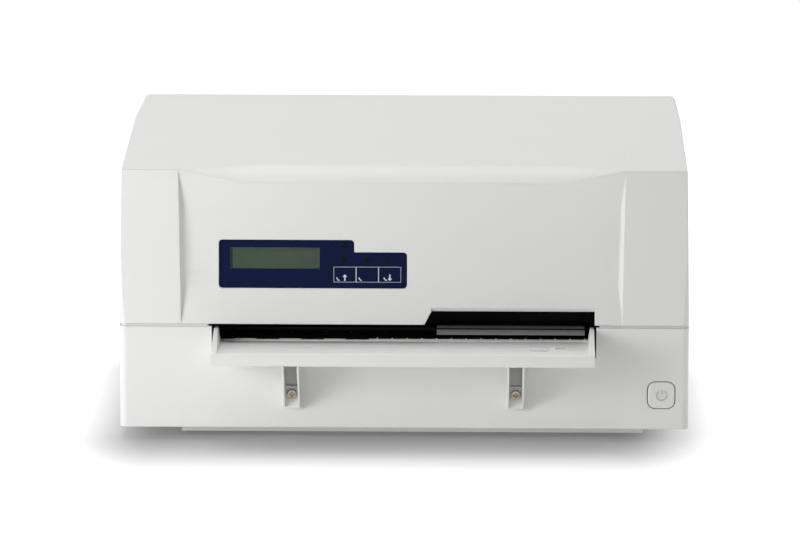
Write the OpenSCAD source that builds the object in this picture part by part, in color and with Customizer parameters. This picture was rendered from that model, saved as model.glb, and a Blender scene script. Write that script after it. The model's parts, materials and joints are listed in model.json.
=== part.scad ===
// Flatbed dot matrix printer: lower case and hinged cover, front paper table, control panel,
// feed rollers and gears, and a print head on a belt-driven carriage.
// Millimetres. X runs right, Y runs back and Z up. The origin is on the floor, under the middle.
// Inside the modules Y is counted from the front face of the case, and placed() centres it.

/* [Case] */
// Width of the case
case_w = 384; // [376:1:400]
// Depth of the case, front face to rear face
case_d = 236; // [232:1:250]
// Height from the floor to the top
case_h = 203; // [200:1:212]
// Height of the seam between the lower case and the cover
seam_z = 78.5; // [78:0.5:79.5]
// Width of the seam
seam_gap = 1.8; // [1.2:0.1:2]
// Height of the lower case's bottom edge
case_z = 8.5; // [7:0.5:9]
// Wall thickness of the cover
wall = 3; // [2.4:0.2:3.2]
// Radius of the upright corners
corner_r = 5; // [3:0.5:7]
// Lean of the cover's sides, in degrees
side_draft = 1.15; // [0.5:0.05:1.3]

/* [Cover] */
// Height of the cover's front top edge
brow_z = 184; // [180:1:188]
// How far the front leans back up to that edge
brow_y = 3.4; // [2:0.2:5]
// Distance of the top's crease from the front
crease_y = 163; // [150:1:175]
// Drop of the crease below the top
crease_drop = 0.7; // [0.3:0.1:1.5]
// Width of the scooped middle of the front, at the seam
scoop_w = 296.8; // [290:0.2:304]
// Middle of the scoop, left of the case's middle
scoop_x = -1.6; // [-3:0.1:0]
// Depth of the scoop
scoop_depth = 5; // [3:0.5:6]
// Run of the curve at each end of the scoop
scoop_run = 10.5; // [5:0.5:12]
// Radius of the scooped part's top edge
brow_r = 18; // [10:1:20]
// Length over which that radius fades out at each end
brow_run = 62; // [40:1:80]

/* [Control panel] */
// Width of the panel
panel_w = 126.8; // [126:0.2:128]
// Height of the panel
panel_h = 32.8; // [32:0.2:34]
// Middle of the panel, left of the case's middle
panel_x = -61.4; // [-64:0.2:-58]
// Height of the panel's middle
panel_z = 119.5; // [118:0.5:122]
// Depth of the recess that holds the panel
panel_recess = 2; // [1.5:0.1:2.5]
// Thickness of the panel's printed overlay
overlay_t = 0.8; // [0.5:0.1:1]
// Travel of a key
key_travel = 0.5; // [0.3:0.1:0.5]

/* [Paper path] */
// Height at which the paper runs
paper_z = 68; // [67.5:0.1:68.2]
// Width of the opening in the front
mouth_w = 259; // [256:1:260]
// Reach of the table in front of the case
table_reach = 42; // [38:1:44]
// Width of the table
table_w = 256; // [250:1:257]
// Radius of the driven rollers
roller_r = 8; // [7.5:0.1:8]
// Radius of the pinch rollers
pinch_r = 6; // [5.5:0.1:6]
// Distance of the print line from the front
print_y = 95; // [94:0.5:96]
// Distance from the print line to each pair of rollers
roller_reach = 50; // [48:1:52]

/* [Carriage] */
// Travel of the carriage to each side
carriage_travel = 105; // [80:1:106]
// Radius of the guide shaft
guide_r = 6; // [5:0.5:6]
// Pitch radius of the belt pulleys
pulley_r = 10; // [9:0.5:10]
// Distance between the pulleys
pulley_span = 280; // [276:1:282]

/* [Power button] */
// Width of the button
button_w = 18; // [17:0.5:19]
// Travel of the button
button_travel = 3; // [2:0.5:3]
// Distance of the button from the case's middle
button_x = 173.6; // [172:0.1:175]
// Height of the button's middle
button_z = 31.9; // [30:0.1:34]

/* [Hidden] */
$fn = 64;
smooth = 240;        // facets on the large curves
front_y = -(case_d - table_reach) / 2;
half_w = case_w / 2;
cover_z = seam_z + seam_gap / 2;
lower_top = seam_z - seam_gap / 2;
lower_wall = wall + 0.4;
rim_inset = 1.2;     // the rim that closes the seam stands this far behind the face
floor_t = 3;
inner_floor = case_z + floor_t;

// the hinge runs inside the top rear edge
hinge = [case_d - 7, case_h - 10];
hinge_pin_r = 2.5;
running = 0.05;      // clearance of a running fit, on the radius
cover_rear = hinge[0];
housing_front = cover_rear + 0.5;
housing_top = hinge[1] - 2;
lug_x = 181;
lug_t = 7;
lug_r = 3.8;
ear_x = 174.5;
ear_t = 5;

// the scoop is cut by a cylinder that leans with the front
front_draft = atan(brow_y / (brow_z - seam_z));
scoop_h = brow_z - seam_z - 2;
scoop_r = (pow(scoop_h / 2, 2) + pow(scoop_depth, 2)) / (2 * scoop_depth);
scoop_z = (brow_z + seam_z) / 2;
scoop_axis = [brow_y / 2 - (scoop_r - scoop_depth) * cos(front_draft),
              scoop_z + (scoop_r - scoop_depth) * sin(front_draft)];
scoop_lean = 0.85;   // each end leans outwards towards the top, in degrees

// the notch in the cover's lower edge, over the right half of the mouth
notch_left = 13.8;
notch_slant = 4.6;
notch_right = 128.4;
notch_top = 88;
visor_top = 93;
visor_depth = 4;

// the panel lies in the scoop, leaning as the surface does at its height
panel_tilt = front_draft + asin((scoop_z - panel_z) / scoop_r);
panel_y = scoop_axis[0] + sqrt(pow(scoop_r, 2) - pow(scoop_axis[1] - panel_z, 2));
panel_step_x = -33.6;
panel_step_z = 8.1;
panel_r = 2.5;
display_size = [60.5, 14.4];
display_x = -87.1;
display_v = 3.9;
lamp_r = 1.7;
lamps = [[-40.1, 12.5], [-40.1, 2.6], [-25.1, 2.6], [-10.2, 2.6]];
key_size = [14.4, 9.8];
key_pitch = 15.15;
key_middle = -24.8;
key_v = -7.1;
key_gap = 0.35;
pad_back = panel_recess + 2.6;
key_back = pad_back + 0.6;
display_back = pad_back + 7;
board_t = 1.6;
board_low = inner_floor + 5;
board_top = board_low + board_t;

// the paper path
deck_top = paper_z - 0.6;
deck_t = 1.5;
table_top = paper_z - 1.5;
table_t = 2.5;
table_low = 58.6;
cheek_t = 5.3;
cheek_tip = 2.65;
cheek_top = 76.3;
table_rear = 10;
ruler_y = 8;
tick_from = -18;
tick_step = 10;
ticks = 14;
bracket_x = 75.4;
bracket_low = 22.4;
screw_z = 32.2;
mouth_low = 57;
slot_low = 62;
slot_high = 76;
slot_w = 260;

// the mechanism
frame_x = 164;
frame_t = 2;
frame_front = 38;
frame_rear = 190;
frame_top = 135;
shaft_r = 4;
drive_z = paper_z - roller_r;
front_drive = [print_y - roller_reach, drive_z];
rear_drive = [print_y + roller_reach, drive_z];
pinch_gap = 0.3;
pinch_z = paper_z + pinch_r + pinch_gap;
pinch_shaft_r = 2;
bush_r = 6;
roller_places = [-105, -65, -25, 25, 65, 105];
roller_len = 22;
guide = [126, 104];
rail = [50, 66];
rail_z = 120;
rail_t = 2;
beam_y = 152;
beam_z = 84;
beam_t = 2;
belt_z = 112;
belt_y = 140;
belt_w = 6;
belt_t = 1.2;
pulley_x = pulley_span / 2;
motor_w = 42;
ribbon_z = 69;
ribbon_w = 13;

// the gears: module 1, all in one plane outside the right frame
gear_m = 1;
gear_x = frame_x + frame_t + 3;
gear_t = 6;
roller_teeth = 30;
idler_teeth = 36;
pinion_teeth = 16;
motor_at = [print_y, 34];
idler_hub = idler_teeth * gear_m / 2;
roller_hub = roller_teeth * gear_m / 2;
pinion_hub = pinion_teeth * gear_m / 2;
front_idler = lower_meeting(front_drive, motor_at, roller_hub + idler_hub, pinion_hub + idler_hub);
rear_idler = [2 * print_y - front_idler[0], front_idler[1]];
front_idler_phase = mesh_phase(0, roller_teeth, idler_teeth, heading(front_drive, front_idler));
pinion_phase = mesh_phase(front_idler_phase, idler_teeth, pinion_teeth, heading(front_idler, motor_at));
rear_idler_phase = mesh_phase(pinion_phase, pinion_teeth, idler_teeth, heading(motor_at, rear_idler));
rear_phase = mesh_phase(rear_idler_phase, idler_teeth, roller_teeth, heading(rear_idler, rear_drive));

// the tray under the case, and its feet
tray_left = -151;
tray_right = 162;
tray_front = 14;
tray_rear = 222;
tray_low = 3;
tray_t = 1.2;
foot_x = 130;
foot_y = [40, 196];

// what shows at the rear
port_z = 34;
parallel_x = -95;
serial_x = -25;
inlet_x = 150;
inlet_z = 38;
parallel_size = [62, 15];
serial_size = [42, 12];
inlet_size = [28, 21];
vent_w = 4;
vent_pitch = 11;
vents_each_side = 12;
vent_z = [112, 168];

// the carriage, and the cartridge's arms clear of it at the end of its travel
carriage_half = 28;
carriage_base = [86, 90];
boss_r = 11;
carriage_bush_r = 8;
head_r = 18;
arm_x = carriage_half + carriage_travel + 5;
arm_end = arm_x + 12;
passbook_left = 22;
passbook_right = 122;

// the boards stand on pillars on the case's floor
supply_x = [-155, -50];
supply_y = [30, 120];
board_x = [-155, 110];
board_y = [130, 214];
pillar_inset = 5;
pillar_r = 3;

case_grey = [0.88, 0.88, 0.87];
steel = [0.72, 0.73, 0.75];
bright = [0.85, 0.86, 0.87];
black = [0.07, 0.07, 0.08];
board_green = [0.10, 0.36, 0.20];
nylon = [0.90, 0.89, 0.83];

function heading(a, b) = atan2(b[1] - a[1], b[0] - a[0]);

// the lower of the two points at the given distances from a and b
function lower_meeting(a, b, ra, rb) =
    let (d = norm(b - a), u = (b - a) / d, along = (ra * ra - rb * rb + d * d) / (2 * d),
         across = sqrt(ra * ra - along * along))
    a + u * along + across * [u[1], -u[0]];

// the phase that puts a gear in mesh with a neighbour that lies on the given heading
function mesh_phase(phase, teeth, next_teeth, toward) =
    toward + 180 + 360 / next_teeth * (0.5 - (phase - toward) * teeth / 360);

function arc(middle, r, from, to, steps = 6) =
    [for (i = [0:steps]) middle + r * [cos(from + (to - from) * i / steps),
                                       sin(from + (to - from) * i / steps)]];

function rounded_box(low, high, r, steps = 6) = concat(
    arc([high[0] - r, low[1] + r], r, -90, 0, steps), arc([high[0] - r, high[1] - r], r, 0, 90, steps),
    arc([low[0] + r, high[1] - r], r, 90, 180, steps), arc([low[0] + r, low[1] + r], r, 180, 270, steps));

function rounded_middle(size, r) = rounded_box(-size / 2, size / 2, r);

function stadium(half, r) = concat(arc([half, 0], r, -90, 90, 16), arc([-half, 0], r, 90, 270, 16));

// teeth as fractions of the pitch: wide at the root, narrow at the tip, with some backlash
function gear_outline(teeth, phase) =
    let (r = teeth * gear_m / 2, step = 360 / teeth, root = r - 1.15 * gear_m, tip = r + 0.9 * gear_m)
    [for (i = [0:teeth - 1]) for (p = [[root, -0.31], [tip, -0.13], [tip, 0.13], [root, 0.31]])
        p[0] * [cos(phase + (i + p[1]) * step), sin(phase + (i + p[1]) * step)]];

module placed() { translate([0, front_y, 0]) children(); }
module block(low, high) { translate(low) cube(high - low); }
module mirrored() { children(); mirror([1, 0, 0]) children(); }

// a side outline, drawn in Y and Z, made as wide as given or from one X to another
module across(width) { translate([-width / 2, 0, 0]) rotate([90, 0, 90]) linear_extrude(width) children(); }
module from_x(x0, x1) { translate([x0, 0, 0]) rotate([90, 0, 90]) linear_extrude(x1 - x0) children(); }

// a front outline, drawn in X and Z, from one Y to another
module from_y(y0, y1) { translate([0, y1, 0]) rotate([90, 0, 0]) linear_extrude(y1 - y0) children(); }

// a plan outline, drawn in X and Y, from one Z to another
module from_z(z0, z1) { translate([0, 0, z0]) linear_extrude(z1 - z0) children(); }

module rod_x(x0, x1, at, r) { translate([x0, at[0], at[1]]) rotate([0, 90, 0]) cylinder(r = r, h = x1 - x0); }
module rod_y(y0, y1, x, z, r) { translate([x, y0, z]) rotate([-90, 0, 0]) cylinder(r = r, h = y1 - y0); }

// ---- lower case ----

module case_plan(inset, z0, z1) {
    from_z(z0, z1) polygon(rounded_box([-half_w + inset, inset], [half_w - inset, case_d - inset],
                                       max(corner_r - inset, 0.5)));
}

module case_ring(outer, inner, z0, z1) {
    difference() {
        case_plan(outer, z0, z1);
        case_plan(inner, z0 - 1, z1 + 1);
    }
}

module button_outline(grow) { polygon(rounded_middle([button_w, button_w] + [2, 2] * grow, 5 + grow)); }

module lower_case() color(case_grey) placed() {
    rim_end = 2.2;
    difference() {
        union() {
            case_ring(0, lower_wall, case_z, lower_top);
            case_plan(1, case_z, inner_floor);
            case_ring(lower_wall - 0.4, lower_wall + 1.4, lower_top - 8, lower_top);
            intersection() {
                union() {
                    case_ring(lower_wall + 0.05, lower_wall + 1.4, lower_top - 0.1, lower_top + 3);
                    case_ring(rim_inset, lower_wall + 1, lower_top - 0.1, cover_z - 0.3);
                }
                block([-half_w, 0, 0], [half_w, cover_rear - 4, case_h]);
            }
            for (x = [-bracket_x, bracket_x]) rod_y(lower_wall - 0.5, 9, x, screw_z, 4);
            block([button_x - 6, 17, inner_floor - 0.5], [button_x + 6, 33, button_z - 6]);
        }
        block([-mouth_w / 2, -1, mouth_low], [mouth_w / 2, 9, case_h]);
        block([-mouth_w / 2 - rim_end, -1, lower_top], [mouth_w / 2 + rim_end, 9, case_h]);
        block([-slot_w / 2, case_d - 9, slot_low], [slot_w / 2, case_d + 1, slot_high]);
        for (x = [-bracket_x, bracket_x]) rod_y(-1, 8, x, screw_z, 1.5);
        translate([button_x, 0, button_z]) from_y(-1, 6) button_outline(0.5);
        translate([parallel_x, 0, port_z]) cut_behind(parallel_size);
        translate([serial_x, 0, port_z]) cut_behind(serial_size);
        translate([inlet_x, 0, inlet_z]) cut_behind(inlet_size);
    }
}

module cut_behind(size) {
    block([-size[0] / 2, case_d - 9, -size[1] / 2], [size[0] / 2, case_d + 1, size[1] / 2]);
}

module chassis_tray() color(steel) placed() {
    difference() {
        block([tray_left, tray_front, tray_low], [tray_right, tray_rear, case_z]);
        block([tray_left + tray_t, tray_front + tray_t, tray_low + tray_t],
              [tray_right - tray_t, tray_rear - tray_t, case_z + 1]);
    }
}

module feet() color(black) placed() {
    for (x = [-foot_x, foot_x], y = foot_y)
        translate([x, y, 0]) cylinder(r1 = 8, r2 = 9.5, h = tray_low);
}

// ---- cover and rear housing ----

function cover_side(inset, low, rear) = [
    [inset, low], [inset, cover_z], [brow_y + inset, brow_z - inset],
    [crease_y, case_h - crease_drop - inset], [case_d - 7, case_h - inset],
    [rear, case_h - inset], [rear, low]];

function cover_half(z) = half_w - (z - seam_z) * tan(side_draft);

function cover_front(inset, low) = let (r = 4, top = case_h - inset, side = cover_half(top) - inset) concat(
    [[half_w - inset, low], [half_w - inset, seam_z]], arc([side - r, top - r], r, 0, 90),
    arc([r - side, top - r], r, 90, 180), [[inset - half_w, seam_z], [inset - half_w, low]]);

// the outer form of everything above the seam, from front to rear
module upper_form(inset, low, rear) {
    intersection() {
        across(case_w) polygon(cover_side(inset, low, rear));
        from_y(-1, rear + 1) polygon(cover_front(inset, low));
        case_plan(inset, low, case_h);
    }
}

// what the right end leaves of the scoop: steep at the face, flat where it reaches full depth
module scoop_end(grow) {
    run = scoop_run + grow;
    depth = scoop_depth + grow + 0.1;
    translate([scoop_w / 2 + grow, 0, seam_z]) rotate([-front_draft, scoop_lean, 0])
        from_z(-10, brow_z - seam_z + 6) polygon(concat(
            [[-case_w, depth + 9], [-case_w, -12], [0, -12]],
            [for (a = [0:10:90]) [run * (cos(a) - 1), depth * sin(a)]],
            [[-run, depth + 9]]));
}

// everything outside a plane that rises to the brow's sharp edge at the right end of the scoop
module brow_fade(facing, rise, grow) {
    side = 2 * brow_r;
    translate([scoop_w / 2, brow_y, brow_z]) rotate([facing - 90, 0, 0]) rotate([0, -rise, 0])
        block([-case_w, -side, -grow], [brow_run, side, half_w]);
}

// what the brow's rounding takes off the middle of the front top edge
module brow_cut(grow) {
    slope = atan((case_h - crease_drop - brow_z) / (crease_y - brow_y));
    half_turn = (90 - slope - front_draft) / 2;
    facing = 90 + slope + half_turn;
    bite = brow_r * pow(sin(half_turn), 2) / cos(half_turn);
    rise = atan(bite / brow_run);
    middle = [brow_y, brow_z] - brow_r / cos(half_turn) * [cos(facing), sin(facing)];
    intersection() {
        across(scoop_w + 2 * grow) polygon(concat([[brow_y - 2, brow_z + 2]],
            arc(middle, brow_r - grow, 90 + slope, 180 - front_draft, 8)));
        brow_fade(facing, rise, grow);
        mirror([1, 0, 0]) brow_fade(facing, rise, grow);
    }
}

// the scooped middle of the front; grown by the wall, it holds the hollow behind at that distance
module scoop(grow) {
    translate([scoop_x, 0, 0]) {
        intersection() {
            rod_x(-half_w, half_w, scoop_axis, scoop_r + grow, $fn = smooth);
            scoop_end(grow);
            mirror([1, 0, 0]) scoop_end(grow);
        }
        brow_cut(grow);
    }
}

module notch() {
    from_y(-20, wall + scoop_depth + 8) polygon([
        [notch_left - notch_slant, seam_z - 9], [notch_left, cover_z], [notch_left + notch_slant, notch_top],
        [notch_right, notch_top], [notch_right, seam_z - 9]]);
    from_x(notch_left + notch_slant, notch_right) polygon([
        [-1, visor_top + 1.5], [visor_depth + 1, notch_top - 0.6], [-1, notch_top - 4]]);
}

// Y runs into the machine from the scooped surface, and Z up the panel
module on_panel() { translate([0, panel_y, panel_z]) rotate([-panel_tilt, 0, 0]) children(); }

module panel_outline(grow) {
    left = panel_x - panel_w / 2 - grow;
    right = panel_x + panel_w / 2 + grow;
    top = panel_h / 2 + grow;
    low = -panel_h / 2 - grow;
    polygon(concat(
        arc([right - panel_r, low + panel_r], panel_r, -90, 0),
        arc([right - panel_r, panel_step_z + grow - panel_r], panel_r, 0, 90),
        [[panel_step_x + grow, panel_step_z + grow]],
        arc([panel_step_x + grow - panel_r, top - panel_r], panel_r, 0, 90),
        arc([left + panel_r, top - panel_r], panel_r, 90, 180),
        arc([left + panel_r, low + panel_r], panel_r, 180, 270)));
}

module key_places() { for (i = [-1:1]) translate([key_middle + i * key_pitch, 0, key_v]) children(); }

module panel_windows(y0, y1, grow) {
    translate([display_x, 0, display_v]) from_y(y0, y1)
        square(display_size + [2, 2] * grow, center = true);
    for (p = lamps) rod_y(y0, y1, p[0], p[1], lamp_r);
    key_places() from_y(y0, y1) square(key_size + [2, 2] * key_gap, center = true);
}

module hinge_lug() {
    from_x(lug_x - lug_t / 2, lug_x + lug_t / 2) difference() {
        polygon(concat([[hinge[0] - 16, case_h - wall + 0.5]],
            arc(hinge, lug_r, 225, 360, 12),
            [[hinge[0] + lug_r, hinge[1] + 1], [hinge[0], case_h - wall + 0.5]]));
        translate(hinge) circle(r = hinge_pin_r + running);
    }
}

module top_cover() color(case_grey) placed() {
    difference() {
        union() {
            difference() {
                upper_form(0, cover_z, cover_rear);
                difference() {
                    upper_form(wall, cover_z - 1, cover_rear + 1);
                    scoop(wall);
                }
            }
            intersection() {
                on_panel() from_y(-3, pad_back) panel_outline(4);
                upper_form(1, cover_z, cover_rear);
            }
            mirrored() hinge_lug();
        }
        scoop(0);
        notch();
        on_panel() from_y(-10, panel_recess) panel_outline(0);
        on_panel() panel_windows(0, pad_back + 9, 0.3);
    }
}

module rear_housing() color(case_grey) placed() {
    nose_w = 170;
    difference() {
        intersection() {
            upper_form(0, cover_z - seam_gap, case_d);
            block([-half_w, housing_front, lower_top], [half_w, case_d, housing_top]);
        }
        intersection() {
            upper_form(wall, lower_top - 1, case_d);
            block([-half_w, 0, 0], [half_w, case_d - wall, case_h]);
        }
        for (i = [-vents_each_side:vents_each_side]) translate([i * vent_pitch, 0, 0])
            block([-vent_w / 2, case_d - 8, vent_z[0]], [vent_w / 2, case_d + 1, vent_z[1]]);
    }
    across(2 * nose_w) polygon([
        [case_d, housing_top - 0.1], [hinge[0] + 0.6, hinge[1] + 6.2], [hinge[0] - 7, hinge[1] + 6.2],
        [hinge[0] - 7, hinge[1] + 4.2], [hinge[0] - 0.4, hinge[1] + 4.2],
        [case_d - wall, housing_top - 3], [case_d - 0.5, housing_top - 3]]);
    mirrored() from_x(ear_x - ear_t / 2, ear_x + ear_t / 2) difference() {
        polygon(concat(arc(hinge, 6, 45, 225, 12), [[case_d - wall - 0.5, housing_top - 22],
            [case_d - 1, housing_top - 22], [case_d - 1, housing_top - 0.5]]));
        translate(hinge) circle(r = hinge_pin_r);
    }
}

module hinge_pins() color(steel) placed() {
    mirrored() rod_x(ear_x - ear_t / 2 - 0.6, lug_x + lug_t / 2 + 0.6, hinge, hinge_pin_r);
}

// ---- control panel ----

module panel_overlay() color([0.05, 0.10, 0.30]) placed() on_panel() difference() {
    from_y(panel_recess - overlay_t, panel_recess) panel_outline(-0.15);
    panel_windows(-1, panel_recess + 1, 0);
}

module display_window() color([0.55, 0.65, 0.55, 0.5]) placed() on_panel() {
    translate([display_x, 0, display_v]) from_y(panel_recess - 0.4, pad_back - 0.4)
        square(display_size - [0.1, 0.1], center = true);
}

module display_module() color([0.28, 0.38, 0.30]) placed() on_panel() {
    translate([display_x, 0, display_v]) from_y(pad_back, display_back) square([70, 21], center = true);
    translate([display_x, 0, display_v]) from_y(pad_back - 0.4, pad_back + 0.1)
        square(display_size - [0.1, 0.1], center = true);
}

module panel_board() color(board_green) placed() on_panel() {
    from_y(display_back, display_back + board_t) translate([panel_x - 60, -14]) square([120, 29]);
    key_places() from_y(key_back + key_travel + 0.1, display_back + 0.1) square([6, 6], center = true);
}

module status_lamps() color([0.10, 0.12, 0.08]) placed() on_panel() {
    for (p = lamps) {
        rod_y(panel_recess - overlay_t - 0.2, display_back, p[0], p[1], lamp_r - 0.05);
        rod_y(pad_back + 0.6, pad_back + 1.6, p[0], p[1], lamp_r + 0.5);
    }
}

module panel_key(index) {
    placed() on_panel() translate([key_middle + index * key_pitch, 0, key_v]) {
        from_y(panel_recess - overlay_t, key_back - 1.4) square(key_size, center = true);
        from_y(key_back - 1.5, key_back) square([4, 4], center = true);
    }
}

module left_key() color([0.05, 0.10, 0.30]) panel_key(-1);
module middle_key() color([0.05, 0.10, 0.30]) panel_key(0);
module right_key() color([0.05, 0.10, 0.30]) panel_key(1);

// ---- power button ----

module power_button() color(case_grey) placed() translate([button_x, 0, button_z]) {
    from_y(-0.8, 8) button_outline(0);
    rod_y(7.9, 13.7, 0, 0, 3);
}

module power_switch() color(black) placed() translate([button_x, 0, button_z]) difference() {
    block([-6, 14 + button_travel, -6], [6, 33, 6]);
    rod_y(14, 20, 0, 0, 3.5);
}

// ---- front table ----

module front_table() color(case_grey) placed() {
    lip_t = 3;
    lip_r = 1.5;
    half = table_w / 2;
    block_w = 14.6;
    block_places = [-114.4, -84.2, -54];
    long_block = -23.7;
    rib_t = 2;
    block([-half + 1, lip_t - table_reach, table_top - table_t], [half - 1, ruler_y, table_top]);
    across(table_w) polygon(concat(
        [[-table_reach, table_low], [lip_t - table_reach, table_low], [lip_t - table_reach, table_top]],
        arc([lip_r - table_reach, table_top - 1], lip_r, 90, 180, 4)));
    mirrored() intersection() {
        from_x(half - cheek_t, half) polygon([
            [0.5 - table_reach, table_low], [0.5 - table_reach, paper_z - 1.2], [0, cheek_top],
            [table_rear, cheek_top], [table_rear, table_low]]);
        from_y(-table_reach, table_rear + 1) polygon([
            [half - cheek_t, table_low], [half + 1, table_low], [half + 1, cheek_top + 1],
            [half - cheek_tip, cheek_top + 1], [half - cheek_tip, cheek_top]]);
    }
    block([-half + 1, ruler_y - 0.5, table_top - table_t], [half - 1, table_rear, paper_z - 0.6]);
    for (i = [0:ticks]) translate([tick_from + i * tick_step, 0, 0])
        block([-0.5, ruler_y + 0.2, paper_z - 1], [0.5, table_rear - 0.2, paper_z + (i == 0 ? 0.8 : 0.5)]);
    for (x = block_places) block([x, ruler_y, paper_z - 1], [x + block_w, table_rear, paper_z - 0.1]);
    block([long_block, ruler_y, paper_z - 1], [half - 3, table_rear, paper_z - 0.1]);
    for (x = [-100:50:100]) translate([x, 0, 0])
        block([-rib_t / 2, 2 - table_reach, table_low + 2], [rib_t / 2, table_rear - 1, table_top - 1]);
}

module table_bracket(x) {
    plate_t = 1.6;
    plate_low = 6.3;
    plate_high = 7.8;
    wall_in = 4.4;
    wall_out = 5.7;
    under = table_top - table_t;
    front = 6 - table_reach;
    pad_y = -3.4;
    pad_top = 38;
    placed() translate([x, 0, 0]) difference() {
        union() {
            from_y(-plate_t, 0) polygon([[-plate_low, bracket_low], [plate_low, bracket_low],
                                         [plate_high, mouth_low], [-plate_high, mouth_low]]);
            mirrored() from_x(wall_in, wall_out) polygon([
                [-0.5, bracket_low], [-2.8, bracket_low], [front, mouth_low], [front, under], [-0.5, under]]);
            block([-wall_in - 0.1, pad_y, bracket_low], [wall_in + 0.1, -1, pad_top]);
            block([-wall_out, front, under - 2], [wall_out, -0.5, under]);
        }
        rod_y(-10, 2, 0, screw_z, 1.7);
    }
}

module left_table_bracket() color(case_grey) table_bracket(-bracket_x);
module right_table_bracket() color(case_grey) table_bracket(bracket_x);

module bracket_screws() color(bright) placed() {
    for (x = [-bracket_x, bracket_x]) difference() {
        union() {
            rod_y(-5.4, -3.4, x, screw_z, 3.15);
            rod_y(-3.5, 7.5, x, screw_z, 1.5);
        }
        for (turn = [0, 90]) translate([x, 0, screw_z]) rotate([0, turn, 0])
            block([-1.7, -6, -0.4], [1.7, -4.3, 0.4]);
    }
}

// ---- frames and paper guides ----

module frame_outline() {
    polygon([[frame_front, 44], [frame_front, 96], [48, frame_top], [170, frame_top], [frame_rear, 112],
             [frame_rear, inner_floor], [58, inner_floor], [58, 30]]);
}

module frame_holes() {
    for (at = [front_drive, rear_drive]) {
        translate(at) circle(r = bush_r);
        translate([at[0], pinch_z]) circle(r = pinch_shaft_r + running);
    }
    translate(guide) circle(r = guide_r);
}

module left_side_frame() color(steel) placed() {
    from_x(-frame_x - frame_t, -frame_x) difference() {
        frame_outline();
        frame_holes();
    }
    block([-frame_x - 12, 62, inner_floor], [-frame_x - 1, frame_rear, inner_floor + 2]);
}

module right_side_frame() color(steel) placed() {
    from_x(frame_x, frame_x + frame_t) difference() {
        frame_outline();
        frame_holes();
        translate(motor_at) circle(r = 6);
    }
    block([frame_x + 1, 62, inner_floor], [frame_x + 12, frame_rear, inner_floor + 2]);
    for (at = [front_idler, rear_idler]) rod_x(frame_x + 0.5, gear_x + gear_t + 1.5, at, 3);
}

// the shelf that ties the frames together in front and carries the ribbon cartridge
module front_beam() color(black) placed() {
    block([-frame_x, frame_front, beam_z], [frame_x, frame_front + 12, beam_z + 2]);
    block([1 - arm_x, frame_front + 10, beam_z], [arm_x - 1, frame_front + 12, beam_z + 14]);
}

module rear_beam() color(steel) placed() difference() {
    block([-frame_x, beam_y, 88], [frame_x, beam_y + beam_t, 132]);
    rod_y(beam_y - 1, beam_y + 3, -pulley_x, belt_z, 6);
    rod_y(beam_y - 1, beam_y + 3, pulley_x, belt_z, 3);
}

module platen() color(steel) placed() {
    block([-frame_x, print_y - 6, paper_z - 12], [frame_x, print_y + 6, paper_z - 0.4]);
}

module deck(y0, y1, roller_y) {
    placed() difference() {
        union() {
            block([-frame_x, y0, deck_top - deck_t], [frame_x, y1, deck_top]);
            block([-frame_x, y0, deck_top - 8], [frame_x, y0 + deck_t, deck_top]);
        }
        for (x = roller_places) block([x - roller_len / 2 - 1, roller_y - roller_r - 1.5, deck_top - 5],
                                      [x + roller_len / 2 + 1, roller_y + roller_r + 1.5, deck_top + 1]);
    }
}

module front_deck() color(black) deck(frame_front - 27, print_y - 6.5, front_drive[0]);
module rear_deck() color(black) deck(print_y + 6.5, case_d - 4, rear_drive[0]);

module upper_guide() color(black) placed() {
    across(2 * frame_x) polygon([[20, paper_z + 4], [22, paper_z + 2.4], [36, paper_z + 2.4],
                                 [37.5, paper_z + 4], [37.5, 84], [34, 84], [34, 74], [20, 74]]);
    mirrored() block([frame_x - 6, 34, 80], [frame_x, frame_front + 6, 84]);
}

// a folded channel with its lips to the front, hooked over the upper guide
module passbook_guide() color(bright) placed() translate([0, 0, paper_z])
    from_x(passbook_left, passbook_right) polygon([
        [14, 1.9], [15.2, 1.9], [15.2, 4.4], [20, 4.4], [20, 7.8], [24, 7.8], [24, 6], [25, 6],
        [25, 8.6], [14.4, 8.6], [14.4, 7.8], [19, 7.8], [19, 5.6], [14, 5.6]]);

module guide_shaft() color(bright) placed() rod_x(-frame_x - frame_t, frame_x + frame_t, guide, guide_r);

module front_rail() color(steel) placed() {
    block([-frame_x, rail[0], rail_z], [frame_x, rail[1], rail_z + rail_t]);
    block([-frame_x, rail[0], rail_z - 10], [frame_x, rail[0] + 2, rail_z + rail_t]);
}

module shaft_bushes() color(nylon) placed() {
    mirrored() for (at = [front_drive, rear_drive]) difference() {
        union() {
            rod_x(frame_x, frame_x + frame_t + 0.1, at, bush_r);
            rod_x(frame_x + frame_t, frame_x + frame_t + 1.5, at, bush_r + 2);
        }
        rod_x(frame_x - 1, frame_x + frame_t + 3, at, shaft_r + running);
    }
}

// ---- ribbon ----

module ribbon_cartridge() color(black) placed() {
    from_z(beam_z + 2, beam_z + 18) polygon(rounded_box([-arm_end, 22], [arm_end, frame_front + 9.7], 3));
    mirrored() {
        block([arm_x, 30, beam_z + 6], [arm_end, print_y + 8, beam_z + 18]);
        block([arm_x, print_y - 9, ribbon_z - 0.4], [arm_end, print_y + 8, beam_z + 10]);
    }
}

module ink_ribbon() color([0.12, 0.12, 0.14]) placed() {
    block([-arm_x, print_y - ribbon_w / 2, ribbon_z], [arm_x, print_y + ribbon_w / 2, ribbon_z + 0.25]);
}

// ---- carriage: guided by the shaft behind and the rail in front ----

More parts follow.
